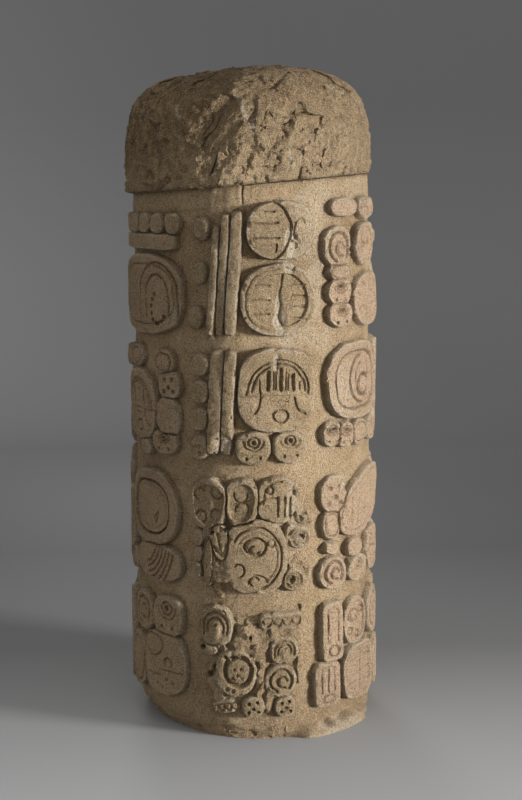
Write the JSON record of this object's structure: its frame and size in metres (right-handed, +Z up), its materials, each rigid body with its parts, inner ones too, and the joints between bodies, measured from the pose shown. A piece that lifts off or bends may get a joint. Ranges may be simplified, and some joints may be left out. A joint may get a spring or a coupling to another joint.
{
  "type": "carved stone column",
  "caption": "Round monolithic limestone column with a rough overhanging cap and raised carved blocks of lobes and bars in rows round the shaft.",
  "frame": {"origin": "centre of the flat underside of the column", "axes": "+Z up along the column's axis; the front of the column faces -Y; +X is to the right when the front is seen"},
  "size_m": [0.5878, 0.582, 1.5],
  "materials": {
    "limestone": "dry weathered limestone, matt, warm buff with brown patina and pale chips"
  },
  "bodies": {
    "root": {"carved_column": "limestone"}
  },
  "joints": []
}
